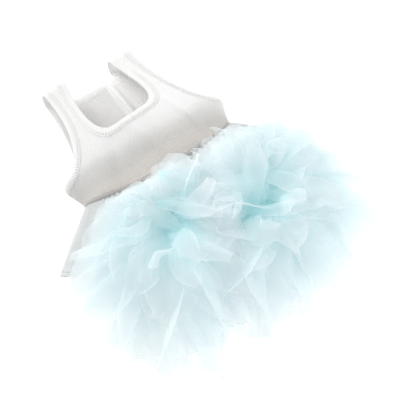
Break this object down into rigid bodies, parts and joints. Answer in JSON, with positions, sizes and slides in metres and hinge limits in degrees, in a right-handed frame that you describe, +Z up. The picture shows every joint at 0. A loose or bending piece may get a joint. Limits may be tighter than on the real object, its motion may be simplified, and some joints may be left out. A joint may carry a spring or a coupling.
{
  "type": "dog dress",
  "caption": "A small dog's dress of ribbed white knit with bound neck and leg holes, a short pale underskirt and large aqua tulle rosettes, lying on its back.",
  "frame": {"origin": "on the floor, under the middle of the dress's bounding box", "axes": "+Y runs from the skirt to the neck, +X to the right seen from above, +Z up from the floor that the back panel lies on"},
  "size_m": [0.3084, 0.3566, 0.0935],
  "materials": {
    "rib_knit": "matt rib knit",
    "rib_binding": "matt rib knit",
    "underskirt_cloth": "smooth, semi-sheer",
    "tulle": "sheer net"
  },
  "bodies": {
    "root": {"vest": "rib_knit", "neck_binding": "rib_binding", "left_leg_binding": "rib_binding", "right_leg_binding": "rib_binding", "underskirt": "underskirt_cloth", "left_rosette": "tulle", "right_rosette": "tulle"}
  },
  "joints": []
}
